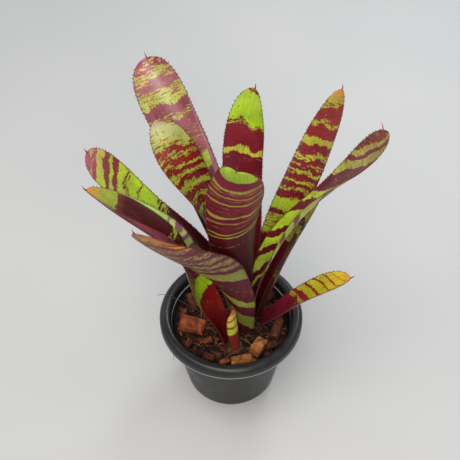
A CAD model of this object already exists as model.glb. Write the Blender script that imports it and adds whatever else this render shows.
import math
import random

import bmesh
import bpy
import numpy as np
from mathutils import Matrix, Vector, noise


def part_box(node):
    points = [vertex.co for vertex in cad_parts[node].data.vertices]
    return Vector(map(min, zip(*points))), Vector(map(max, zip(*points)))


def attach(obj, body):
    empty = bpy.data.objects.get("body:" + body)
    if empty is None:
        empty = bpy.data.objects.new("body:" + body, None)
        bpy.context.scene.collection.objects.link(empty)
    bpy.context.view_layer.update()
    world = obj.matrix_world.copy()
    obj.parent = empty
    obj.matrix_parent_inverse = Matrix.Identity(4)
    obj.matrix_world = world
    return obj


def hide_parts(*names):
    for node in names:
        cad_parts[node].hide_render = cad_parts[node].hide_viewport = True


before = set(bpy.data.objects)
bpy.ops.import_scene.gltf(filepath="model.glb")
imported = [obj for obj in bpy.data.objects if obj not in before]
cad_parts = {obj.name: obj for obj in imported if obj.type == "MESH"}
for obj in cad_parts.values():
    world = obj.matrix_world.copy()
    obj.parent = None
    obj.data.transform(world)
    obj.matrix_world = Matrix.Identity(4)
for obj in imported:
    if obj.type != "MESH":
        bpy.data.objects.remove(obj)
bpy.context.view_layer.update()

# ----------------------------------------------------------------------------------------------------------
# Pot. A thin nursery pot, injection moulded in black polypropylene. Its wall is rolled outwards at the
# top into a soft collar that ends in a hanging lip, and its floor is pierced for drainage.
MM = 0.001
pot_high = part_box("pot")[1]
RIM = pot_high.x / MM
HEIGHT = pot_high.z / MM
WALL = 1.6
COLLAR_WIDTH = 9.5
COLLAR_DROP = 11.0
BASE = 44.5
FLOOR = 2.4
HOLES, HOLE_RADIUS, HOLE_RING = 6, 4.0, 30.0
lip = HEIGHT - COLLAR_DROP
wall_top = RIM - COLLAR_WIDTH


def paint(code):
    """An sRGB hex colour as linear red, green, blue and alpha."""
    parts = [int(code[i:i + 2], 16) / 255 for i in (0, 2, 4)]
    return (*[p / 12.92 if p <= 0.04045 else ((p + 0.055) / 1.055) ** 2.4 for p in parts], 1.0)


def add(tree, kind, inputs=None, stops=None, **settings):
    """One shader node with its settings, its ramp's stops and its inputs, which are values or sockets."""
    made = tree.nodes.new("ShaderNode" + kind)
    for key, value in settings.items():
        setattr(made, key, value)
    if stops:
        ramp = made.color_ramp
        while len(ramp.elements) < len(stops):
            ramp.elements.new(1.0)
        for element, (place, colour) in zip(ramp.elements, stops):
            element.position = place
            element.color = paint(colour) if isinstance(colour, str) else (colour, colour, colour, 1.0)
    for key, value in (inputs or {}).items():
        if isinstance(value, bpy.types.NodeSocket):
            tree.links.new(value, made.inputs[key])
        else:
            made.inputs[key].default_value = value
    return made


def calc(tree, operation, *values):
    """One arithmetic step on numbers or sockets."""
    return add(tree, "Math", dict(enumerate(values)), operation=operation).outputs[0]


def remap(tree, value, span, to=(0.0, 1.0), smooth=False):
    """A value's place in a span, carried over to another span and held at its ends."""
    inputs = {"Value": value, "From Min": span[0], "From Max": span[1], "To Min": to[0], "To Max": to[1]}
    return add(tree, "MapRange", inputs, interpolation_type="SMOOTHSTEP" if smooth else "LINEAR").outputs[0]


def mottled(tree, place, scale, detail, roughness=0.5):
    inputs = {"Vector": place, "Scale": scale, "Detail": detail, "Roughness": roughness}
    return add(tree, "TexNoise", inputs).outputs["Fac"]


def stretched(tree, place, scale):
    return add(tree, "Mapping", {"Vector": place, "Scale": scale}).outputs[0]


def toned(tree, value, stops, interpolation="LINEAR"):
    """The colour that a ramp with these stops gives for a value."""
    made = add(tree, "ValToRGB", {"Fac": value}, stops=stops)
    made.color_ramp.interpolation = interpolation
    return made.outputs["Color"]


def mixed(tree, share, first, second, blend="MIX"):
    """Two colours mixed; the share is how much of the second shows."""
    inputs = {"Factor": share, 6: first, 7: second}
    return add(tree, "Mix", inputs, data_type="RGBA", blend_type=blend).outputs[2]


def emboss(tree, shader, height, strength, depth):
    """Bump from a height map, its depth in millimetres."""
    bump = add(tree, "Bump", {"Height": height, "Strength": strength, "Distance": depth * MM})
    tree.links.new(bump.outputs["Normal"], shader.inputs["Normal"])


def new_material(name, **sockets):
    """An empty Principled material; the sockets given hold over the whole surface."""
    made = bpy.data.materials.new(name)
    made.use_nodes = True
    shader = made.node_tree.nodes["Principled BSDF"]
    for key, value in sockets.items():
        shader.inputs[key.replace("_", " ")].default_value = value
    return made, made.node_tree, shader


def moulded_polypropylene():
    """Black polypropylene, injection moulded: satin, softly mottled where dust and water marks dull it, and
    scuffed paler along the lip."""
    made, tree, shader = new_material("moulded_black_polypropylene", IOR=1.49, Specular_IOR_Level=0.34)
    place = add(tree, "TexCoord").outputs["Object"]
    dust = mottled(tree, place, 1 / (18 * MM), 6.0, 0.65)
    grain = mottled(tree, place, 1 / (0.8 * MM), 2.0)
    tone = toned(tree, dust, ((0.30, "151516"), (0.55, "1e1e1f"), (0.78, "2c2b29")))
    height = add(tree, "SeparateXYZ", {"Vector": place}).outputs["Z"]
    edge = remap(tree, height, ((lip + 0.9) * MM, (lip + 1.9) * MM), (1.0, 0.0), smooth=True)
    above = calc(tree, "GREATER_THAN", height, (lip - 0.3) * MM)
    scuff = calc(tree, "MULTIPLY", edge, above)
    scuff = calc(tree, "MULTIPLY", scuff, 0.85)
    worn = mixed(tree, scuff, tone, paint("b4b4b3"))
    tree.links.new(worn, shader.inputs["Base Color"])
    rough = remap(tree, dust, (0.3, 0.8), (0.28, 0.52))
    tree.links.new(rough, shader.inputs["Roughness"])
    emboss(tree, shader, grain, 0.12, 0.1)
    return made


def arc(middle, radii, start, end, count):
    """Points of a stretch of ellipse as (radius, height), its angles in degrees."""
    turn = np.radians(np.linspace(start, end, count))
    return [(middle[0] + radii[0] * math.cos(a), middle[1] + radii[1] * math.sin(a)) for a in turn]


def finish_piece(obj, node_names, surface=None):
    """Puts a piece into the frame: shading, material, body, record slot and the node it stands for."""
    if surface:
        obj.data.materials.append(surface)
    if obj.type == "MESH":
        obj.data.polygons.foreach_set("use_smooth", [True] * len(obj.data.polygons))
    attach(obj, "root")
    if node_names:
        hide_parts(*node_names)
    return obj


def new_object(name, data):
    obj = bpy.data.objects.new(name, data)
    bpy.context.scene.collection.objects.link(obj)
    return obj


def mesh_object(name, points, faces):
    mesh = bpy.data.meshes.new(name)
    mesh.from_pydata([tuple(p) for p in points], [], faces)
    return new_object(name, mesh)


def object_from(shell, name):
    """Ends an edit mesh and gives its object."""
    mesh = bpy.data.meshes.new(name)
    shell.to_mesh(mesh)
    shell.free()
    return new_object(name, mesh)


def apply_modifiers(obj):
    """Keeps the shape that the modifiers make as the object's own mesh."""
    seen = obj.evaluated_get(bpy.context.evaluated_depsgraph_get())
    made = bpy.data.meshes.new_from_object(seen)
    obj.modifiers.clear()
    obj.data = made


def ring_faces(start, rings, sides):
    """Quads that join rings of points; the first ring's points start at the given index."""
    faces = []
    for row in range(rings - 1):
        for k in range(sides):
            a, b = start + row * sides + k, start + row * sides + (k + 1) % sides
            faces.append((a, a + sides, b + sides, b))
    return faces


def turned_pot():
    collar_mid = RIM - COLLAR_WIDTH / 2
    inner_roll = arc((wall_top + 3.2, HEIGHT - 4.2), (3.9, 4.0), 188, 96, 9)
    outer_roll = arc((RIM - 4.6, HEIGHT - 6.0), (4.6, 6.0), 84, 0, 12)
    under = arc((RIM - 4.6, HEIGHT - 6.0), (3.0, 4.4), 0, 90, 7)
    profile = [
        (0.0, FLOOR), (BASE - 8.0, FLOOR),
        *arc((BASE - WALL - 4.0, FLOOR + 4.0), (4.0, 4.0), -90, -6, 6),
        (wall_top - WALL, lip), *inner_roll, (collar_mid, HEIGHT), *outer_roll,
        *arc((RIM - 0.8, lip + 0.8), (0.8, 0.8), 0, -180, 7),
        *under, (wall_top + 1.6, HEIGHT - 4.0), (wall_top, HEIGHT - 8.0), (wall_top, lip),
        *arc((BASE - 4.5, 4.5), (4.5, 4.5), -6, -90, 8), (BASE - 9.0, 0.0), (0.0, 0.0),
    ]
    sides = 160
    rows = [[Vector((r * math.cos(2 * math.pi * k / sides), r * math.sin(2 * math.pi * k / sides), z)) * MM
             for k in range(sides)] for r, z in profile[1:-1]]
    points = [Vector((0, 0, profile[0][1])) * MM] + [p for row in rows for p in row]
    points.append(Vector((0, 0, profile[-1][1])) * MM)
    last = len(points) - 1
    faces = [(0, 1 + k, 1 + (k + 1) % sides) for k in range(sides)] + ring_faces(1, len(rows), sides)
    foot = 1 + (len(rows) - 1) * sides
    faces += [(foot + (k + 1) % sides, foot + k, last) for k in range(sides)]
    obj = mesh_object("nursery_pot", points, faces)
    drills = []
    for hole in range(HOLES):
        bearing = 2 * math.pi * (hole + 0.5) / HOLES
        spot = Vector((HOLE_RING * math.cos(bearing), HOLE_RING * math.sin(bearing), FLOOR / 2)) * MM
        bpy.ops.mesh.primitive_cylinder_add(radius=HOLE_RADIUS * MM, depth=8 * MM, vertices=40,
                                            location=spot)
        drills.append(bpy.context.object)
        cut = obj.modifiers.new("drain hole", "BOOLEAN")
        cut.operation, cut.solver, cut.object = "DIFFERENCE", "EXACT", drills[-1]
    apply_modifiers(obj)
    for drill in drills:
        bpy.data.objects.remove(drill)
    return obj


pot = finish_piece(turned_pot(), ["pot"], moulded_polypropylene())
pot.data.set_sharp_from_angle(angle=math.radians(35))

# ----------------------------------------------------------------------------------------------------------
# Potting mix. Coir dust and peat packed round the roots up to about two centimetres below the rim, dark
# and crumbly, with loose crumbs of itself on top.
mix_low, mix_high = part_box("potting_mix")
MIX_TOP = mix_high.z / MM - 1.0
MIX_REACH = mix_high.x / MM
MIX_FLOOR = mix_low.z / MM
chance = random.Random(11)


def mix_level(x, y):
    """Height of the lumpy mix in millimetres: heaped a little round the shoots, lower at the wall."""
    spot = Vector((x, y, 0.0))
    heap = 1.2 * math.exp(-((x - 10) ** 2 + (y + 6) ** 2) / 900.0)
    lumps = 1.5 * noise.noise(spot / 8.0) + 1.0 * noise.noise(spot / 3.1) + 0.5 * noise.noise(spot / 1.3)
    return MIX_TOP - 0.9 + heap + lumps * 0.9


def crumbly_mix():
    """Coir dust and peat, screened and damp: matt, nearly black in its hollows, with paler husk dust."""
    made, tree, shader = new_material("crumbly_coir_and_peat", Roughness=0.95, Specular_IOR_Level=0.2)
    place = add(tree, "TexCoord").outputs["Object"]
    lump = mottled(tree, place, 1 / (5 * MM), 8.0, 0.7)
    crumb = add(tree, "TexVoronoi", {"Vector": place, "Scale": 1 / (1.6 * MM), "Randomness": 1.0})
    tone = toned(tree, lump, ((0.30, "0a0503"), (0.48, "1e100a"), (0.60, "3a1e12"), (0.74, "6a3c24")))
    dark = mixed(tree, crumb.outputs["Distance"], tone, paint("160b06"))
    tree.links.new(dark, shader.inputs["Base Color"])
    rise = calc(tree, "SUBTRACT", lump, crumb.outputs["Distance"])
    emboss(tree, shader, rise, 0.9, 0.8)
    return made


def mix_body():
    rings, sides = 64, 220
    points = [Vector((0, 0, mix_level(0, 0))) * MM]
    for ring in range(1, rings + 1):
        reach = (MIX_REACH - 0.1) * (ring / rings) ** 0.85
        for side in range(sides):
            bearing = 2 * math.pi * side / sides
            x, y = reach * math.cos(bearing), reach * math.sin(bearing)
            points.append(Vector((x, y, mix_level(x, y))) * MM)
    foot = BASE - WALL - 1.0
    for side in range(sides):
        bearing = 2 * math.pi * side / sides
        points.append(Vector((foot * math.cos(bearing), foot * math.sin(bearing), MIX_FLOOR)) * MM)
    faces = [(0, 1 + k, 1 + (k + 1) % sides) for k in range(sides)] + ring_faces(1, rings + 1, sides)
    faces.append(tuple(reversed(range(1 + rings * sides, 1 + (rings + 1) * sides))))
    return mesh_object("mix_surface", points, faces)


def scatter_lumps(name, count, sizes, stretch, lift):
    """Small irregular lumps of one kind, joined in one mesh and laid on the mix."""
    pile = bmesh.new()
    for _ in range(count):
        bearing = chance.uniform(0, 2 * math.pi)
        reach = (MIX_REACH - 3.0) * math.sqrt(chance.random())
        x, y = reach * math.cos(bearing), reach * math.sin(bearing)
        size = chance.uniform(*sizes)
        lump = bmesh.ops.create_icosphere(pile, subdivisions=2, radius=1.0)["verts"]
        seed = Vector([chance.uniform(0, 50) for _ in range(3)])
        turn = Matrix.Rotation(chance.uniform(0, 2 * math.pi), 3, "Z") @ Matrix.Rotation(
            chance.uniform(-0.5, 0.5), 3, "Y")
        for corner in lump:
            swell = 1 + 0.55 * noise.noise(corner.co * 1.4 + seed)
            shape = corner.co * Vector(stretch) * swell
            corner.co = (turn @ shape * size + Vector((x, y, mix_level(x, y) + lift * size))) * MM
    return object_from(pile, name)


mix_stuff = crumbly_mix()
finish_piece(mix_body(), ["potting_mix"], mix_stuff)
finish_piece(scatter_lumps("mix_crumbs", 520, (0.5, 1.6), (1.2, 0.9, 0.7), 0.2), [],
             mix_stuff)

# ----------------------------------------------------------------------------------------------------------
# Stem. The crown of the main shoot and the offset's own crown, grown out of it on a stout runner: woody,
# brown, with the torn remains of old sheaths round it.
stem_low, stem_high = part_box("stem")
MAIN_SHOOT = (13.0, 4.0)
OFFSET_SHOOT = (2.0, -27.0)
SHEATH_FOOT = 78.0
OFFSET_FOOT = 80.0
RUNNER_RADIUS = 3.1


def old_stem_bark():
    """Living stem with dried sheath remains: dull and fibrous, brown streaked with tan."""
    made, tree, shader = new_material("old_stem_bark", Roughness=0.85)
    place = add(tree, "TexCoord").outputs["Object"]
    drawn = stretched(tree, place, (1.0, 1.0, 0.18))
    fibre = mottled(tree, drawn, 1 / (1.1 * MM), 5.0)
    tone = toned(tree, fibre, ((0.32, "1c100a"), (0.50, "3d271a"), (0.66, "6b4c34"), (0.80, "9a7a58")))
    tree.links.new(tone, shader.inputs["Base Color"])
    emboss(tree, shader, fibre, 0.8, 0.5)
    return made


def skin_rings(shell, rings):
    """Faces between rings of points, and a cap at each end."""
    sides = len(rings[0])
    for low, high in zip(rings, rings[1:]):
        for k in range(sides):
            shell.faces.new((low[k], low[(k + 1) % sides], high[(k + 1) % sides], high[k]))
    shell.faces.new(list(reversed(rings[0])))
    shell.faces.new(rings[-1])


def gnarled_crown(shell, centre, radius, column, foot, top, height):
    """A crown with its short column: rings of points whose radius swells and wrinkles round the shoot."""
    sides = 72
    profile = [(0.35 * radius, foot), (0.9 * radius, foot + 0.8), (radius, foot + 3.0), (radius, top - 1.6),
               (0.94 * radius, top - 0.3), (0.8 * radius, top), (column + 1.0, top + 0.2),
               (column, top + 3.0),
               (column, height - column), (0.6 * column, height - 0.3 * column), (0.05, height)]
    rows = []
    for r, z in profile:
        row = []
        for k in range(sides):
            turn = 2 * math.pi * k / sides
            way = Vector((math.cos(turn), math.sin(turn), 0.0))
            wrinkle = 1 + 0.035 * noise.noise(Vector((way.x * 5, way.y * 5, z / 5.0)))
            wrinkle += 0.02 * noise.noise(Vector((way.x * 16, way.y * 16, z / 3.0)))
            row.append(shell.verts.new((Vector((*centre, z)) + way * r * min(wrinkle, 1.03)) * MM))
        rows.append(row)
    skin_rings(shell, rows)


def stem_body():
    shell = bmesh.new()
    foot = stem_low.z / MM
    gnarled_crown(shell, MAIN_SHOOT, 17.0, 4.2, foot, SHEATH_FOOT - 0.5, stem_high.z / MM)
    gnarled_crown(shell, OFFSET_SHOOT, 9.2, 2.7, foot, OFFSET_FOOT - 0.5, OFFSET_FOOT + 14.0)
    start, end = Vector((*MAIN_SHOOT, foot + 4.0)), Vector((*OFFSET_SHOOT, foot + 4.5))
    onward = (end - start).normalized()
    side = onward.cross(Vector((0, 0, 1))).normalized()
    rows, steps, sides = [], 12, 24
    for step in range(steps + 1):
        middle = start.lerp(end, step / steps)
        row = []
        for k in range(sides):
            turn = 2 * math.pi * k / sides
            knob = noise.noise(Vector((step * 0.9, math.cos(turn) * 2, math.sin(turn) * 2)))
            swell = RUNNER_RADIUS + 0.35 * knob
            out = side * math.cos(turn) + Vector((0, 0, 1)) * math.sin(turn)
            row.append(shell.verts.new((middle + out * swell) * MM))
        rows.append(row)
    skin_rings(shell, rows)
    bmesh.ops.recalc_face_normals(shell, faces=shell.faces[:])
    return object_from(shell, "stem_crowns")


finish_piece(stem_body(), ["stem"], old_stem_bark())

# ----------------------------------------------------------------------------------------------------------
# Leaves. Stiff straps, hollow towards the middle of the rosette, each wrapped round its shoot by a broad
# sheath. Their margins are set with small dark spines, and each tip ends in a longer one.
LEAF_THICKNESS = 1.3
MARGIN_THICKNESS = 0.4
MARGIN_WAVE = 0.175
SPINE_PITCH = 3.2
SPINE_RADIUS = 0.55
SPINE_BEND = 0.5
TIP_RADIUS = 0.75
TIP_BEND = 0.35


def along(values, at):
    """Values spaced evenly from 0 to 1, joined by a smooth curve."""
    values = np.array(values, float)
    slope = np.gradient(values)
    last = len(values) - 1
    place = np.clip(at, 0, 1) * last
    i = np.minimum(place.astype(int), last - 1)
    t = place - i
    return ((2 * t**3 - 3 * t**2 + 1) * values[i] + (t**3 - 2 * t**2 + t) * slope[i]
            + (3 * t**2 - 2 * t**3) * values[i + 1] + (t**3 - t**2) * slope[i + 1])


def ease(at, start, end):
    t = np.clip((at - start) / (end - start), 0, 1)
    return t * t * (3 - 2 * t)


def two_toned(name, roughness, grain, detail, dark, light):
    """A plain material that drifts between two tones; grain is how far apart, in millimetres."""
    made, tree, shader = new_material(name, Roughness=roughness)
    drift = mottled(tree, add(tree, "TexCoord").outputs["Object"], 1 / (grain * MM), detail)
    tree.links.new(toned(tree, drift, ((0.35, dark), (0.65, light))), shader.inputs["Base Color"])
    return made


# Marginal and tip spines: horny, smooth and a little glossy, brown-red when old and rose when young.
spine_stuff = two_toned("horny_leaf_spine", 0.4, 6, 2.0, "4a1010", "7c2420")
rose_spine = two_toned("young_rose_leaf_spine", 0.4, 6, 2.0, "a83c40", "cc6a64")


def banded_blade(name, bands, ground, green, under, ragged=0.8, slant=0.0, stray=1.0, specks=0.25,
                 seam="929430", gloss=0.42, folds=()):
    """A bromeliad leaf: a satin skin over fibres that run lengthwise. Maroon lies over a green ground in
    ragged cross bands, yellower where the maroon thins out, and scurf dulls the outer side."""
    made, tree, shader = new_material("banded_leaf_" + name, IOR=1.45, Specular_IOR_Level=gloss)
    share = add(tree, "SeparateXYZ", {"Vector": add(tree, "UVMap", uv_map="share").outputs[0]})
    across, length = share.outputs["X"], share.outputs["Y"]
    place = add(tree, "UVMap", uv_map="blade_mm").outputs[0]

    # The place along the leaf is pushed about, broadly and then finely, before the bands are read at it.
    broad = mottled(tree, place, 1 / 14.0, 2.0)
    streak = stretched(tree, place, (1 / 1.3, 1 / 9.0, 1.0))
    fine = mottled(tree, streak, 1.0, 4.0, 0.7)
    push = calc(tree, "MULTIPLY_ADD", broad, 0.07 * stray, -0.035 * stray)
    push = calc(tree, "MULTIPLY_ADD", fine, 0.035 * stray, push)
    tilt = calc(tree, "MULTIPLY_ADD", across, slant, push)
    read = calc(tree, "ADD", length, tilt)
    read = calc(tree, "SUBTRACT", read, 0.0175 * stray)
    density = toned(tree, read, bands, "CONSTANT")

    # Broken cross dashes: cells 9 mm wide and 2 mm long decide where a part-green stretch shows green.
    drawn = stretched(tree, place, (1 / 9.0, 1 / 2.0, 1.0))
    dashes = mottled(tree, drawn, 1.0, 5.0, 0.62)
    spread = remap(tree, dashes, (0.3, 0.7), (-0.45 * ragged, 0.45 * ragged))
    small = stretched(tree, place, (1 / 3.6, 1 / 0.9, 1.0))
    mottle = mottled(tree, small, 1.0, 2.0)
    fleck = remap(tree, mottle, (0.3, 0.7), (-0.22 * ragged, 0.22 * ragged))
    level = calc(tree, "ADD", density, spread)
    level = calc(tree, "ADD", level, fleck)
    is_green = remap(tree, level, (0.46, 0.54), smooth=True)
    is_full = remap(tree, level, (0.52, 0.78))

    # Small dark specks strewn over the green.
    cell = add(tree, "TexVoronoi", {"Vector": place, "Scale": 1 / 2.6})
    dot = calc(tree, "LESS_THAN", cell.outputs["Distance"], 0.24)
    some = add(tree, "SeparateColor", {"Color": cell.outputs["Color"]})
    chosen = calc(tree, "LESS_THAN", some.outputs[0], specks)
    speck = calc(tree, "MULTIPLY", dot, chosen)
    clear = calc(tree, "SUBTRACT", 1.0, speck)
    mask = calc(tree, "MULTIPLY", is_green, clear)

    maroon = toned(tree, length, ground)
    lime = toned(tree, length, green)
    lime = mixed(tree, is_full, paint(seam), lime)
    skin = mixed(tree, mask, maroon, lime)

    # A strip painted on one margin stands for the outer side where it folds over. Its inner edge moves from
    # one share of the half width to another between the strip's first place and its last.
    for way, (inner, outermost), stops in folds:
        start, end = stops[0][0], stops[-1][0]
        over = calc(tree, "MULTIPLY", across, way)
        bare = remap(tree, read, (start, end), (inner, outermost))
        over = calc(tree, "SUBTRACT", over, bare)
        over = remap(tree, over, (0.0, 0.05))
        begun = remap(tree, read, (start, start + 0.02))
        shown = calc(tree, "MULTIPLY", over, begun)
        outside = toned(tree, read, stops, "CONSTANT")
        skin = mixed(tree, shown, skin, outside)

    # Veins lengthen the colour into faint lines, and the thin margin is darker.
    vein_way = stretched(tree, place, (1 / 0.9, 1 / 40.0, 1.0))
    veins = mottled(tree, vein_way, 1.0, 3.0)
    shade = remap(tree, veins, (0.3, 0.7), (0.86, 1.12))
    cloud = remap(tree, broad, (0.3, 0.7), (0.8, 1.2))
    shade = calc(tree, "MULTIPLY", shade, cloud)
    lined = mixed(tree, 1.0, skin, shade, "MULTIPLY")
    side = calc(tree, "ABSOLUTE", across)
    rim = remap(tree, side, (0.93, 1.0), (0.0, 0.7), smooth=True)
    edged = mixed(tree, rim, lined, paint("4a1616"))

    # The outer side is the same bands seen through scurf.
    outer = add(tree, "Attribute", attribute_name="outer_side").outputs["Fac"]
    scurf_way = stretched(tree, place, (1 / 2.2, 1 / 1.2, 1.0))
    scurf = mottled(tree, scurf_way, 1.0, 6.0, 0.75)
    veil = remap(tree, scurf, (0.25, 0.75), (under[1] - 0.12, under[1] + 0.12))
    veiled = calc(tree, "MULTIPLY", veil, outer)
    colour = mixed(tree, veiled, edged, paint(under[0]))
    tree.links.new(colour, shader.inputs["Base Color"])

    rough = calc(tree, "MULTIPLY_ADD", outer, 0.12, 0.22)
    rough = calc(tree, "MULTIPLY_ADD", scurf, 0.10, rough)
    tree.links.new(rough, shader.inputs["Roughness"])
    rise = calc(tree, "MULTIPLY_ADD", scurf, 0.25, veins)
    emboss(tree, shader, rise, 0.25, 0.25)
    return made


def blade_frame(at, shoot, foot, ring, heading, lean, channel, twist, length, width, full, rounded_from,
                blunt):
    """Spine, sideways and inward directions, width and channel angle at each place along a leaf."""
    steps = 800
    fine = np.linspace(0, 1, steps + 1)
    turn, slope = np.radians(along(heading, fine)), np.radians(along(lean, fine))
    onward = np.stack([np.sin(slope) * np.cos(turn), np.sin(slope) * np.sin(turn), np.cos(slope)], -1)
    moves = (onward[1:] + onward[:-1]) / 2 * length / steps
    first = math.radians(heading[0])
    start = np.array([shoot[0] + ring * math.cos(first), shoot[1] + ring * math.sin(first), foot])
    path = start + np.concatenate([np.zeros((1, 3)), np.cumsum(moves, 0)])
    spine = np.stack([np.interp(at, fine, path[:, i]) for i in range(3)], -1)
    turn, slope = np.radians(along(heading, at)), np.radians(along(lean, at))
    sideways = np.stack([-np.sin(turn), np.cos(turn), 0 * at], -1)
    inward = np.stack([-np.cos(slope) * np.cos(turn), -np.cos(slope) * np.sin(turn), np.sin(slope)], -1)
    roll = np.radians(along(twist, at))[:, None]
    sideways, inward = (sideways * np.cos(roll) + inward * np.sin(roll),
                        inward * np.cos(roll) - sideways * np.sin(roll))
    hollow = np.radians(np.maximum(along(channel, at), 6))
    sheath = ring * math.radians(channel[0])
    span = sheath + (width - sheath) * ease(at, 0, full)
    rounding = np.clip((at - rounded_from) / (1 - rounded_from), 0, 1)
    span = np.maximum(span * np.sqrt(1 - rounding**blunt), 0.25)
    return spine, sideways, inward, span, hollow


def add_spine(points, faces, root, way, along_leaf, size, radius, bend):
    """One curved spine of three rings and a tip, added to the leaf's own points and faces."""
    out, lift = way / np.linalg.norm(way), np.cross(way, along_leaf)
    lift = lift / (np.linalg.norm(lift) + 1e-9)
    third = np.cross(lift, out)
    start = len(points)
    for share, girth in ((-0.15, 1.0), (0.3, 0.75), (0.65, 0.42)):
        middle = root + out * size * share + along_leaf * bend * size * share * share
        for k in range(5):
            turn = 2 * math.pi * k / 5
            points.append(middle + (lift * math.cos(turn) * 0.8 + third * math.sin(turn)) * radius * girth)
    points.append(root + out * size + along_leaf * bend * size)
    faces.append(tuple(range(start, start + 5)))
    faces += ring_faces(start, 3, 5)
    faces += [(start + 10 + k, start + 15, start + 10 + (k + 1) % 5) for k in range(5)]


def grow_leaf(name, ring, heading, lean, channel, twist, length, width, look, full=0.5, rounded_from=0.74,
              blunt=2.2, shoot=MAIN_SHOOT, foot=SHEATH_FOOT, spines_from=0.22, tip_spine=5.0, tip_at=0.5,
              tip_way=None, tip_stuff=None, seed=1):
    """One leaf: a closed blade with two sides, its spines, and the maps that its bands are read from."""
    rows, columns = 150, 30
    at = 1 - (1 - np.linspace(0, 1, rows)) ** 1.5
    spine, sideways, inward, span, hollow = blade_frame(
        at, shoot, foot, ring, heading, lean, channel, twist, length, width, full, rounded_from, blunt)
    share = np.linspace(-1, 1, columns + 1)
    share = np.sign(share) * (1 - (1 - np.abs(share)) ** 1.15)
    radius = (span / hollow)[:, None]
    turn = 0.5 * share[None, :] * hollow[:, None]
    way_side, way_in = sideways[:, None, :], inward[:, None, :]
    middle = (spine[:, None, :] + way_side * (radius * np.sin(turn))[..., None]
              + way_in * (radius * (1 - np.cos(turn)))[..., None])
    normal = way_in * np.cos(turn)[..., None] - way_side * np.sin(turn)[..., None]
    # The margins wave gently, more so away from the sheath.
    dice = np.random.default_rng(seed)
    waves = sum(np.sin(at[:, None] * length / pitch + dice.uniform(0, 6.3) + share[None, :] * 0.8)
                for pitch in (7, 12, 19))
    reach = MARGIN_WAVE * waves * np.abs(share[None, :]) ** 2.5 * ease(at, 0.15, 0.5)[:, None]
    middle = middle + normal * reach[..., None]
    thick = MARGIN_THICKNESS + (LEAF_THICKNESS - MARGIN_THICKNESS) * (1 - np.abs(share[None, :]) ** 3)
    thick = thick * (0.45 + 0.55 * ease(1 - at, 0, 0.12))[:, None]
    upper, lower = middle + normal * thick[..., None] / 2, middle - normal * thick[..., None] / 2

    wide = columns + 1
    points = list(upper.reshape(-1, 3)) + list(lower.reshape(-1, 3))
    half = rows * wide
    faces = []
    for i in range(rows - 1):
        for j in range(columns):
            a, b = i * wide + j, (i + 1) * wide + j
            faces.append((a, a + 1, b + 1, b))
            faces.append((half + a, half + b, half + b + 1, half + a + 1))
        a, b = i * wide, (i + 1) * wide
        faces.append((a, b, half + b, half + a))
        a, b = a + columns, b + columns
        faces.append((a, half + a, half + b, b))
    for j in range(columns):
        faces.append((j, half + j, half + j + 1, j + 1))
        a = (rows - 1) * wide + j
        faces.append((a, a + 1, half + a + 1, half + a))
    blade_faces = len(faces)

    onward = np.gradient(spine, axis=0)
    onward = onward / np.linalg.norm(onward, axis=1)[:, None]
    for edge, outward in ((0, -1.0), (columns, 1.0)):
        place = spines_from * length + dice.uniform(0, SPINE_PITCH)
        while place < 0.985 * length:
            i = int(np.searchsorted(at, place / length))
            out = outward * (sideways[i] * math.cos(turn[i, edge]) + inward[i] * math.sin(turn[i, edge]))
            size = dice.uniform(0.8, 1.3)
            way = out + 0.45 * onward[i]
            add_spine(points, faces, middle[i, edge], way, onward[i], size, SPINE_RADIUS, SPINE_BEND)
            place += SPINE_PITCH * dice.uniform(0.75, 1.25)
    blade_and_teeth = len(faces)
    tip_root = middle[-1 if tip_at == 0.5 else -9, round(tip_at * columns)]
    tip_way = np.array(tip_way or onward[-1])
    add_spine(points, faces, tip_root, tip_way, inward[-1], tip_spine, TIP_RADIUS, TIP_BEND)

    obj = mesh_object("blade_" + name, np.array(points) * MM, faces)
    mesh = obj.data
    near = (share[None, :] * span[:, None] / 2).reshape(-1)
    far = np.repeat(at * length, wide)
    maps = {
        "blade_mm": np.stack([near, far + 400.0 * seed], -1),
        "share": np.stack([np.tile(share, rows), np.repeat(at, wide)], -1),
    }
    corners = np.empty(len(mesh.loops), np.int32)
    mesh.loops.foreach_get("vertex_index", corners)
    for key, value in maps.items():
        value = np.concatenate([value, value, np.zeros((len(points) - 2 * half, 2))])
        layer = mesh.uv_layers.new(name=key)
        layer.data.foreach_set("uv", value[corners].astype(np.float32).reshape(-1))
    side = mesh.attributes.new("outer_side", "FLOAT", "POINT")
    is_outer = np.concatenate([np.zeros(half), np.ones(half), np.zeros(len(points) - 2 * half)])
    side.data.foreach_set("value", is_outer.astype(np.float32))
    for stuff in (banded_blade(name, **look), spine_stuff, tip_stuff or spine_stuff):
        mesh.materials.append(stuff)
    mesh.polygons.foreach_set("material_index", [0] * blade_faces + [1] * (blade_and_teeth - blade_faces)
                              + [2] * (len(faces) - blade_and_teeth))
    return finish_piece(obj, ["leaf_" + name])


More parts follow.
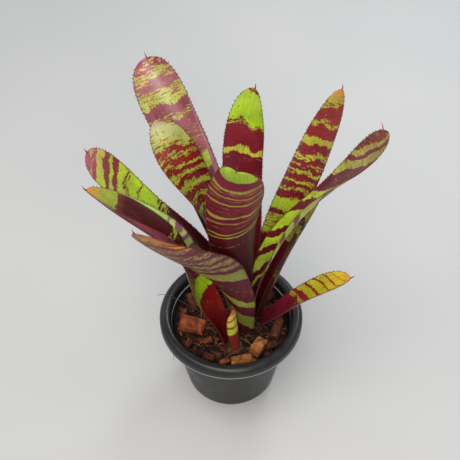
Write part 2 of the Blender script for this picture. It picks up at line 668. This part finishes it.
# The main rosette, inner leaves first. Bands give where along a leaf a stretch begins and how green it is.
grow_leaf(
    "front_centre", ring=6.0, heading=(-100, -101, -86), lean=(6, 17, 17), channel=(95, 109, 107),
    twist=(0, 36, -23), length=280, width=48, full=0.66, blunt=2.6, seed=1,
    look=dict(
        bands=((0.0, 0.0), (0.572, 0.45), (0.579, 0.0), (0.63, 0.8), (0.64, 0.0), (0.65, 0.85),
               (0.66, 0.05), (0.69, 0.45), (0.695, 0.05), (0.712, 0.6), (0.719, 0.05), (0.744, 0.85),
               (0.754, 0.1), (0.775, 0.45), (0.78, 0.1), (0.797, 0.45), (0.802, 0.1), (0.818, 0.85),
               (0.828, 0.1), (0.842, 0.5), (0.847, 0.1), (0.854, 0.75), (0.862, 0.1), (0.878, 0.5),
               (0.883, 0.1), (0.894, 0.75), (0.903, 0.1), (0.945, 1.0)),
        ground=((0.0, "1a0305"), (0.45, "2e060a"), (0.6, "480c16"), (0.75, "621520"), (1.0, "742234")),
        green=((0.0, "7c7428"), (0.6, "988434"), (0.9, "8c8434"), (0.95, "84a030"), (1.0, "94ac38")),
        under=("6e3a40", 0.0), ragged=0.35, stray=0.35, specks=0.05, seam="8c6a38", gloss=0.07))
grow_leaf(
    "back_centre", ring=6.5, heading=(100, 94, 51), lean=(4, 16, 20), channel=(94, 84, 60),
    twist=(0, 14, -5), length=238, width=36, blunt=2.8, rounded_from=0.78, seed=2,
    look=dict(
        bands=((0.0, 0.0), (0.64, 0.2), (0.70, 0.05), (0.735, 0.4), (0.74, 0.1), (0.757, 0.95), (0.78, 0.0),
               (0.85, 0.0), (0.862, 0.5), (0.875, 1.15), (0.982, 0.4)),
        ground=((0.0, "2a0608"), (0.5, "540f18"), (0.8, "701a28"), (1.0, "6a1c20")),
        green=((0.0, "9aa02c"), (0.75, "aea83a"), (0.88, "94b81e"), (1.0, "a0b438")),
        under=("6e5a52", 0.3), ragged=0.5, specks=0.14))
grow_leaf(
    "back_left_inner", ring=8.5, heading=(160, 160, 140), lean=(4, 18, 31), channel=(95, 135, 50),
    twist=(0, 17, -36), length=235, width=40, blunt=2.8, seed=3,
    look=dict(
        bands=((0.0, 0.0), (0.42, 0.15), (0.46, 0.7), (0.52, 0.08), (0.555, 0.6), (0.575, 0.06),
               (0.61, 0.62), (0.63, 0.06), (0.665, 0.6), (0.687, 0.08), (0.715, 0.68), (0.742, 0.1),
               (0.765, 0.68), (0.788, 0.1), (0.812, 0.6), (0.828, 0.1), (0.85, 0.55), (0.866, 0.15),
               (0.885, 0.6), (0.91, 0.74), (0.94, 0.9), (0.975, 0.62)),
        ground=((0.0, "25080a"), (0.45, "4e0a12"), (0.8, "701216"), (0.92, "86302a"), (1.0, "a05a4c")),
        green=((0.0, "8fa424"), (0.6, "849c22"), (0.85, "929e36"), (0.93, "a2a462"), (0.97, "b0ae80"),
               (1.0, "b4907a")),
        under=("7a6a5e", 0.3), ragged=1.0, slant=-0.02, specks=0.25))
grow_leaf(
    "right", ring=7.8, heading=(8, 5, -2, -1), lean=(-1, 12, 28, 35, 23), channel=(80, 130, 106, 45),
    twist=(0, 14, -19, 32), length=261, width=29, blunt=3.0, seed=4, tip_spine=9.0, tip_at=0.8,
    tip_way=(-0.05, 0.25, 1.0), tip_stuff=rose_spine,
    look=dict(
        bands=((0.0, 0.1), (0.24, 0.8), (0.27, 0.1), (0.32, 0.75), (0.39, 0.15), (0.43, 0.95), (0.49, 0.1),
               (0.53, 1.1), (0.62, 0.1), (0.66, 0.3), (0.69, 0.85), (0.73, 0.1), (0.78, 0.25), (0.83, 0.7),
               (0.89, 0.2), (0.92, 0.65), (0.96, 0.3)),
        ground=((0.0, "3a0a0e"), (0.5, "581420"), (0.8, "622e34"), (1.0, "6c3a38")),
        green=((0.0, "7d8a3a"), (0.45, "98b424"), (0.7, "a0ac38"), (0.85, "948c4c"), (1.0, "8a7c46")),
        under=("8a6c66", 0.25), ragged=0.7, slant=0.09, specks=0.12, seam="8c8440"))
grow_leaf(
    "back_right", ring=10.5, heading=(37, 40, 59), lean=(6, 26, 42), channel=(90, 77, 25),
    twist=(0, 16, -38), length=243, width=33, blunt=2.6, rounded_from=0.78, seed=5,
    look=dict(
        bands=((0.0, 0.0), (0.42, 0.6), (0.5, 0.2), (0.52, 0.95), (0.58, 0.1), (0.605, 0.6), (0.618, 0.1),
               (0.637, 0.6), (0.65, 0.1), (0.672, 0.62), (0.69, 0.15), (0.705, 0.5), (0.718, 0.1),
               (0.735, 0.6), (0.755, 0.15), (0.787, 0.85), (0.818, 0.08), (0.862, 0.5), (0.882, 0.1),
               (0.93, 0.55), (0.958, 0.9)),
        ground=((0.0, "2a0608"), (0.5, "5a0e16"), (0.8, "6c1a22"), (0.95, "7a2622"), (1.0, "b0582c")),
        green=((0.0, "7a8420"), (0.55, "86981e"), (0.8, "948e2e"), (0.95, "8a842a"), (1.0, "c07438")),
        under=("7a6a5e", 0.3), ragged=0.9, slant=0.015, specks=0.2))
grow_leaf(
    "back_left_tall", ring=10.5, heading=(138, 141, 117), lean=(7, 22, 51), channel=(95, 95, 56),
    twist=(0, -2, -26), length=272, width=42, blunt=3.4, rounded_from=0.82, seed=6,
    look=dict(
        bands=((0.0, 0.0), (0.6, 0.3), (0.612, 0.92), (0.665, 0.1), (0.7, 0.3), (0.76, 0.12), (0.8, 0.5),
               (0.816, 0.1), (0.848, 0.78), (0.874, 0.6), (0.902, 0.12), (0.922, 0.3), (0.935, 0.68),
               (0.955, 0.3), (0.972, 0.5), (0.985, 0.15)),
        ground=((0.0, "2a0608"), (0.5, "6a2a34"), (0.7, "985a64"), (0.84, "7c3c48"), (0.93, "8c5458"),
                (1.0, "7c2430")),
        green=((0.0, "9aa83a"), (0.62, "b0c84c"), (0.88, "9aa648"), (1.0, "a49a58")),
        under=("8a6c66", 0.3), ragged=1.1, specks=0.25, seam="9c8a4c",
        folds=((-1.0, (0.70, 0.96), ((0.50, "a87480"), (0.88, "b88890"))),)))
grow_leaf(
    "left_upper", ring=12.5, heading=(160, 162, 172), lean=(6, 46, 31), channel=(100, 155, 85, 6),
    twist=(0, 32, -8), length=226, width=45, blunt=2.6, seed=7,
    look=dict(
        bands=((0.0, 0.0), (0.5, 0.12), (0.565, 0.5), (0.6, 0.85), (0.68, 1.1), (0.698, 0.55),
               (0.716, 1.1), (0.755, 0.5), (0.782, 1.0), (0.832, 0.1), (0.852, 1.0), (0.868, 0.08),
               (0.902, 0.95), (0.942, 0.25), (0.965, 0.5), (0.98, 0.2)),
        ground=((0.0, "1c0406"), (0.6, "3c060c"), (0.78, "6a1418"), (0.88, "7c3034"), (1.0, "9c5460")),
        green=((0.0, "7a8a3a"), (0.7, "98b818"), (0.9, "a2b030"), (1.0, "c09c70")),
        under=("9a9480", 0.3), ragged=0.75, slant=0.03, specks=0.15))
grow_leaf(
    "back_right_small", ring=13.0, heading=(22, 24, 26), lean=(18, 21, 30), channel=(60, 104, 74),
    twist=(0, -20, -26), length=143, width=20, seed=8,
    look=dict(
        bands=((0.0, 0.0), (0.36, 0.5), (0.42, 0.05), (0.74, 0.6), (0.80, 0.3), (0.86, 0.7)),
        ground=((0.0, "3a1a16"), (0.4, "5a2a24"), (1.0, "2e0a0c")),
        green=((0.0, "9a8a3c"), (1.0, "a8983c")),
        under=("6a322e", 0.2), ragged=0.8, specks=0.2, gloss=0.1))
grow_leaf(
    "low_right", ring=14.5, heading=(-17, -9, 0), lean=(37, 39, 61), channel=(84, 125, 100),
    twist=(0, 2, 0), length=116, width=26, spines_from=0.35, seed=9,
    look=dict(
        bands=((0.0, 0.0), (0.44, 0.2), (0.50, 0.55), (0.55, 0.2), (0.60, 0.8), (0.67, 0.3), (0.70, 1.0),
               (0.77, 0.25), (0.79, 0.95), (0.85, 0.3), (0.87, 0.95), (0.93, 0.35), (0.945, 0.8)),
        ground=((0.0, "4a1020"), (0.35, "701c2c"), (0.6, "7c1e1c"), (0.85, "8c3018"), (1.0, "b05a30")),
        green=((0.0, "7a7a2c"), (0.7, "a8a41e"), (0.93, "b09a28"), (1.0, "cc7a38")),
        under=("8a4a44", 0.3), ragged=0.7, slant=0.08, specks=0.2))
grow_leaf(
    "front_left_curled", ring=16.5, heading=(-108, -121, -124, -166, -172), lean=(6, 16, 22, 47, 35),
    channel=(100, 145, 90, 24), twist=(0, 4, 58, 53), length=226, width=42, full=0.35, seed=10,
    look=dict(
        bands=((0.0, 0.0), (0.12, 0.9), (0.22, 0.15), (0.27, 0.2), (0.31, 0.9), (0.365, 0.15), (0.42, 0.3),
               (0.47, 0.1), (0.53, 0.85), (0.60, 0.2), (0.64, 0.6), (0.665, 0.15), (0.69, 0.6),
               (0.715, 0.15), (0.74, 0.55), (0.77, 0.2), (0.80, 0.5), (0.83, 0.2), (0.87, 0.5),
               (0.90, 0.2), (0.94, 0.6)),
        ground=((0.0, "2a0a0a"), (0.2, "4a121c"), (0.5, "4c1824"), (0.8, "5e3038"), (0.95, "803a30"),
                (1.0, "a05038")),
        green=((0.0, "66762a"), (0.3, "7c8634"), (0.6, "7e8040"), (0.85, "88805a"), (0.92, "b08a3c"),
               (1.0, "c09448")),
        under=("7a4c54", 0.08), ragged=0.8, slant=0.09, stray=0.8, specks=0.1, seam="84703e", gloss=0.1,
        folds=((1.0, (0.90, 0.46), ((0.87, "74342c"), (0.89, "a0843a"), (0.91, "803222"), (0.93, "a8803a"),
                                    (0.95, "8a3c26"), (0.97, "a0643a"))),)))

# The offset shoot: one long arching leaf and a short one that is still rolled.
grow_leaf(
    "left_arching", ring=8.6, heading=(164, 178, 171), lean=(6, 22, 12, 52, 51),
    channel=(130, 70, 72, 82), twist=(0, -6, 22), length=230, width=37, full=0.3, shoot=OFFSET_SHOOT,
    foot=OFFSET_FOOT, seed=11,
    look=dict(
        bands=((0.0, 0.0), (0.20, 0.15), (0.305, 1.1), (0.39, 0.3), (0.45, 0.15), (0.52, 0.3), (0.59, 0.2),
               (0.63, 0.6), (0.66, 0.1), (0.80, 0.12), (0.885, 0.95), (0.965, 0.75)),
        ground=((0.0, "50100e"), (0.25, "7a1418"), (0.6, "400a10"), (0.85, "3a0a0e"), (1.0, "a0502a")),
        green=((0.0, "7a6a1c"), (0.35, "94b81a"), (0.88, "72842a"), (0.95, "8a8a30"), (0.98, "c07a38"),
               (1.0, "cc8038")),
        under=("7a4a48", 0.25), ragged=0.8, specks=0.25, gloss=0.34,
        folds=((-1.0, (0.30, 0.94), ((0.40, "8c6470"), (0.52, "76505c"), (0.545, "a4b468"),
                                     (0.57, "7c5662"), (0.595, "a8b86a"), (0.62, "7c5662"),
                                     (0.645, "acbc6a"), (0.67, "84606a"), (0.685, "8eb050"),
                                     (0.85, "98b858"))),
               (1.0, (-0.5, 0.3), ((0.40, "64283a"), (0.66, "703040"), (0.885, "7c3c4c"))))))
grow_leaf(
    "offset_rolled", ring=5.6, heading=(-38, -20, -12), lean=(0, -5, -4), channel=(140, 165, 125),
    twist=(0, 0, 0), length=61, width=21, shoot=OFFSET_SHOOT, foot=OFFSET_FOOT, spines_from=0.5,
    tip_spine=2.0, seed=12,
    look=dict(
        bands=((0.0, 0.0), (0.35, 0.25), (0.48, 1.0), (0.62, 0.35), (0.68, 1.0), (0.80, 0.3), (0.84, 0.9),
               (0.93, 0.3)),
        ground=((0.0, "7a2620"), (0.5, "5c1014"), (1.0, "a8502e")),
        green=((0.0, "9aa02c"), (0.7, "a8bc34"), (1.0, "c09040")),
        under=("9a4a40", 0.15), ragged=0.6, specks=0.1))

# ----------------------------------------------------------------------------------------------------------
# Husk chips. Blocks of coconut husk cut and torn by machine, laid loose on the mix: orange-brown and
# fibrous, with frayed ends.
CHIPS = {
    "husk_chip_front_left": dict(middle=(-37.0, -6.0), size=(24.0, 16.0, 7.0), heading=-14, tilt=5),
    "husk_chip_back_left": dict(middle=(-36.0, 22.0), size=(17.0, 10.0, 6.0), heading=-58, tilt=8),
    "husk_chip_front": dict(middle=(10.0, -45.0), size=(18.0, 9.0, 6.0), heading=8, tilt=-5),
    "husk_chip_front_right": dict(middle=(25.0, -31.0), size=(17.0, 11.0, 8.0), heading=60, tilt=6),
    "husk_chip_right": dict(middle=(43.0, -11.0), size=(18.0, 9.0, 7.0), heading=72, tilt=-7),
    "husk_chip_back_right": dict(middle=(34.0, 33.0), size=(17.0, 10.0, 6.0), heading=-40, tilt=6),
    "husk_chip_back": dict(middle=(-2.0, 44.0), size=(19.0, 9.0, 6.0), heading=5, tilt=-4),
}


def torn_husk(name, tones):
    """Coconut husk, cut and torn: matt, with pithy orange-brown cork between darker bundles of fibre."""
    made, tree, shader = new_material(name, Roughness=0.9, Specular_IOR_Level=0.25)
    grain = add(tree, "UVMap", uv_map="grain_mm").outputs[0]
    drawn = stretched(tree, grain, (1 / 9.0, 1 / 0.7, 1.0))
    fibre = mottled(tree, drawn, 1.0, 5.0, 0.7)
    patch = mottled(tree, grain, 1 / 6.0, 3.0)
    blend = calc(tree, "MULTIPLY_ADD", patch, 0.6, -0.3)
    total = calc(tree, "ADD", fibre, blend)
    tone = toned(tree, total, tones)
    tree.links.new(tone, shader.inputs["Base Color"])
    emboss(tree, shader, fibre, 0.9, 0.6)
    return made


fresh_husk = torn_husk(
    "torn_coconut_husk", ((0.30, "2a110a"), (0.45, "5c2814"), (0.58, "803e1c"), (0.75, "a4683c")))
tan_husk = torn_husk(
    "torn_pithy_coconut_husk", ((0.30, "44240f"), (0.45, "704020"), (0.58, "95602f"), (0.75, "b48850")))
stale_husk = torn_husk(
    "weathered_coconut_husk", ((0.30, "170a06"), (0.45, "38190e"), (0.60, "5c3018"), (0.78, "8a5a38")))
CHIP_HUSK = {"husk_chip_front_left": fresh_husk, "husk_chip_front": tan_husk,
             "husk_chip_front_right": tan_husk}


def tear_chip(name, middle, size, heading, tilt, surface, nodes=(), seed=0):
    """A block split into fine cells, then frayed at its ends and grooved along its fibres."""
    cells = (26, 18, 8)
    block = bmesh.new()
    bmesh.ops.create_cube(block, size=1.0)
    for axis, cuts in enumerate(cells):
        edges = [e for e in block.edges if abs((e.verts[0].co - e.verts[1].co)[axis]) > 0.45]
        bmesh.ops.subdivide_edges(block, edges=edges, cuts=cuts, use_grid_fill=True)
    layer = block.loops.layers.uv.new("grain_mm")
    block.verts.index_update()
    flat = {v.index: v.co.copy() for v in block.verts}
    shift = Vector((seed * 7.3, seed * 3.1, 0.0))
    for corner in block.verts:
        at = corner.co.copy()
        big = noise.noise_vector(at * 1.9 + Vector((*middle, 0.0)))
        at += big * 0.10
        groove = noise.noise(Vector((at.x * 1.2, at.y * 14, at.z * 10)) + shift)
        fray = noise.noise(Vector((at.y * 22, at.z * 16, 3.0)) + shift)
        round_off = 1 - 0.10 * (abs(at.y) * 2) ** 3 * (abs(at.z) * 2) ** 2
        at.y *= round_off + 0.045 * groove
        at.z *= round_off + 0.12 * groove
        at.x *= 1 + 0.09 * fray * (abs(at.x) * 2) ** 4
        corner.co = Vector([at[i] * size[i] for i in range(3)])
    for face in block.faces:
        for loop in face.loops:
            at = flat[loop.vert.index]
            loop[layer].uv = (at.x * size[0] + seed * 40, at.y * size[1] + at.z * size[2] * 1.3)
    place = (Matrix.Translation((*middle, 0.0)) @ Matrix.Rotation(math.radians(heading), 4, "Z")
             @ Matrix.Rotation(math.radians(tilt), 4, "Y"))
    block.transform(place)
    rest = MIX_TOP + 0.6 - min(corner.co.z for corner in block.verts)
    block.transform(Matrix.Scale(MM, 4) @ Matrix.Translation((0.0, 0.0, rest)))
    return finish_piece(object_from(block, name), nodes, surface)


for count, (node_name, chip) in enumerate(CHIPS.items()):
    stuff = CHIP_HUSK.get(node_name, stale_husk)
    tear_chip("torn_" + node_name, surface=stuff, nodes=[node_name], seed=count + 1, **chip)

# Smaller scraps between them: where each lies, its size, bearing and tilt.
SCRAPS = [
    ((-6.0, -46.0), (9.0, 6.0, 4.0), 35, 8, fresh_husk),
    ((19.0, -44.0), (8.0, 6.0, 4.0), -50, -6, fresh_husk),
    ((-20.0, -40.0), (10.0, 5.0, 3.5), -30, 4, stale_husk),
    ((-46.0, 9.0), (10.0, 6.0, 4.0), 80, 10, stale_husk),
    ((38.0, -28.0), (11.0, 6.0, 4.5), 30, 8, stale_husk),
    ((46.0, 6.0), (12.0, 6.0, 4.0), 95, -6, stale_husk),
    ((-22.0, -22.0), (8.0, 5.0, 3.5), 15, -8, fresh_husk),
    ((-40.0, -26.0), (9.0, 6.0, 4.0), 60, 5, stale_husk),
    ((34.0, -40.0), (9.0, 5.0, 4.0), 100, 4, stale_husk),
    ((16.0, 42.0), (10.0, 6.0, 4.0), -20, 6, stale_husk),
]
for count, (middle, size, bearing, tilt, stuff) in enumerate(SCRAPS):
    tear_chip(f"husk_scrap_{count + 1}", middle, size, bearing, tilt, stuff, seed=count + 20)


def strew_splinters(name, count, sizes, stretch, lift, surface):
    """A pile of husk splinters; the grain runs one way through the whole pile."""
    obj = scatter_lumps(name, count, sizes, stretch, lift)
    layer = obj.data.uv_layers.new(name="grain_mm")
    for loop, spot in zip(obj.data.loops, layer.data):
        at = obj.data.vertices[loop.vertex_index].co / MM
        spot.uv = (0.3 * at.x, at.y + at.z)
    finish_piece(obj, [], surface)


# Splinters and torn scraps of the same husk, from two to seven millimetres long.
strew_splinters("husk_splinters_stale", 150, (1.1, 2.6), (1.5, 0.55, 0.4), 0.35, stale_husk)
strew_splinters("husk_splinters_fresh", 46, (1.0, 2.4), (1.6, 0.6, 0.4), 0.4, fresh_husk)

# ----------------------------------------------------------------------------------------------------------
# Loose coir. Pale and brown fibres of the husk that worked out of the mix, lying on it in loose arcs; a
# few reach over the rim.
def fibre_curve(name, radius):
    curve = bpy.data.curves.new(name, "CURVE")
    curve.dimensions = "3D"
    curve.bevel_depth = radius * MM
    curve.bevel_resolution = 1
    curve.use_fill_caps = True
    return curve


def strew_fibres(name, count, radius, lengths, surface):
    """Many loose fibres in one curve, each of straight steps that bend a little at random."""
    curve = fibre_curve(name, radius)
    last = 11
    for _ in range(count):
        bearing, reach = chance.uniform(0, 2 * math.pi), (MIX_REACH - 6) * math.sqrt(chance.random())
        x, y = reach * math.cos(bearing), reach * math.sin(bearing)
        way, bend = chance.uniform(0, 2 * math.pi), chance.uniform(-0.25, 0.25)
        step = chance.uniform(*lengths) / last
        arch = chance.uniform(0.2, 2.6)
        spline = curve.splines.new("POLY")
        spline.points.add(last)
        for k in range(last + 1):
            height = mix_level(x, y) + 0.4 + arch * math.sin(math.pi * k / last)
            spline.points[k].co = (x * MM, y * MM, height * MM, 1.0)
            spline.points[k].radius = 1.0 - 0.6 * abs(2 * k / last - 1)
            way += bend + chance.uniform(-0.12, 0.12)
            if math.hypot(x + step * math.cos(way), y + step * math.sin(way)) < MIX_REACH - 1.5:
                x, y = x + step * math.cos(way), y + step * math.sin(way)
    finish_piece(new_object(name, curve), [], surface)


# Husk fibre is dry and wiry, tan to brown, with a slight gloss.
brown_coir = two_toned("coir_fibre_brown", 0.6, 7, 3.0, "2a140a", "6a4022")
pale_coir = two_toned("coir_fibre_pale", 0.6, 7, 3.0, "7a5230", "b08a5c")
strew_fibres("coir_brown", 210, 0.24, (8, 26), brown_coir)
strew_fibres("coir_pale", 40, 0.19, (9, 26), pale_coir)


def long_fibre(name, places, radius, surface):
    """One long stray fibre through the given places, in millimetres."""
    curve = fibre_curve(name, radius)
    curve.resolution_u = 8
    spline = curve.splines.new("NURBS")
    spline.points.add(len(places) - 1)
    for point, place in zip(spline.points, places):
        point.co = (*(Vector(place) * MM), 1.0)
    spline.order_u = 4
    spline.use_endpoint_u = True
    finish_piece(new_object(name, curve), [], surface)


over = HEIGHT + 0.4
long_fibre("coir_over_left_rim", [
    (-30, 10, MIX_TOP + 5), (-46, 14, MIX_TOP + 14), (-58, 17, over + 0.5), (-64, 19, over),
    (-68, 21, over - 1.5), (-70, 19, over - 1)], 0.22, brown_coir)
long_fibre("coir_over_front_left_rim", [
    (-30, -34, MIX_TOP + 3), (-40, -38, MIX_TOP + 12), (-47, -41, over + 1), (-51, -43, over - 0.5),
    (-53, -46, over - 4), (-52, -50, over - 8)], 0.2, brown_coir)

# ----------------------------------------------------------------------------------------------------------
# Setting. A plain pale floor, soft lamps overhead, in front and behind, and the camera looking down at
# the plant.
def pale_floor():
    """Painted matt board: near white, with faint broad unevenness."""
    made, tree, shader = new_material("matt_pale_board", Roughness=0.6)
    place = add(tree, "TexCoord").outputs["Object"]
    cloud = mottled(tree, place, 2.5, 2.0)
    tone = toned(tree, cloud, ((0.35, "a6a7a8"), (0.65, "acacac")))
    tree.links.new(tone, shader.inputs["Base Color"])
    return made


FLOOR_REACH = 4.0
corners = [(x * FLOOR_REACH, y * FLOOR_REACH, 0) for x, y in ((-1, -1), (1, -1), (1, 1), (-1, 1))]
floor = mesh_object("floor", corners, [(0, 1, 2, 3)])
floor.data.materials.append(pale_floor())


def soft_lamp(name, place, target, size, watts, colour):
    """A round soft box at a place, turned to its target."""
    lamp = bpy.data.lights.new(name, "AREA")
    lamp.shape = "DISK"
    lamp.size = size
    lamp.energy = watts
    lamp.color = paint(colour)[:3]
    obj = new_object(name, lamp)
    obj.location = place
    obj.rotation_euler = (Vector(target) - Vector(place)).to_track_quat("-Z", "Y").to_euler()


soft_lamp("overhead", (-0.45, -0.35, 2.4), (0, 0, 0.15), 1.5, 34, "fffdf9")
soft_lamp("front_top", (-0.25, -1.3, 1.9), (0, 0, 0.15), 0.9, 19, "fffbf4")
soft_lamp("front_low", (0.1, -1.1, 0.9), (0, -0.2, 0.0), 0.7, 6, "fff6e8")
soft_lamp("right", (1.6, -0.2, 1.3), (0, 0, 0.1), 1.0, 3, "fdfdff")
soft_lamp("back_left", (-1.3, 1.3, 1.3), (0, 0, 0.2), 0.9, 5, "fafcff")
soft_lamp("back_pool", (0.45, 0.85, 0.95), (0.25, 0.45, 0.0), 0.5, 6, "f8fbff")
world = bpy.data.worlds.new("studio")
world.use_nodes = True
world.node_tree.nodes["Background"].inputs["Color"].default_value = paint("f2f4f8")
world.node_tree.nodes["Background"].inputs["Strength"].default_value = 0.45
bpy.context.scene.world = world
bpy.context.scene.view_settings.view_transform = "Standard"

PITCH = math.radians(48)
AIM = Vector((-1.0, 0.0, 211.9)) * MM
DISTANCE = 0.668
SENSOR_WIDTH = 36.0
LENS = 62.6
camera = new_object("camera", bpy.data.cameras.new("camera"))
camera.data.sensor_width = SENSOR_WIDTH
camera.data.lens = LENS
camera.location = AIM + DISTANCE * Vector((0.0, -math.cos(PITCH), math.sin(PITCH)))
camera.rotation_euler = (math.pi / 2 - PITCH, 0.0, 0.0)
bpy.context.scene.camera = camera
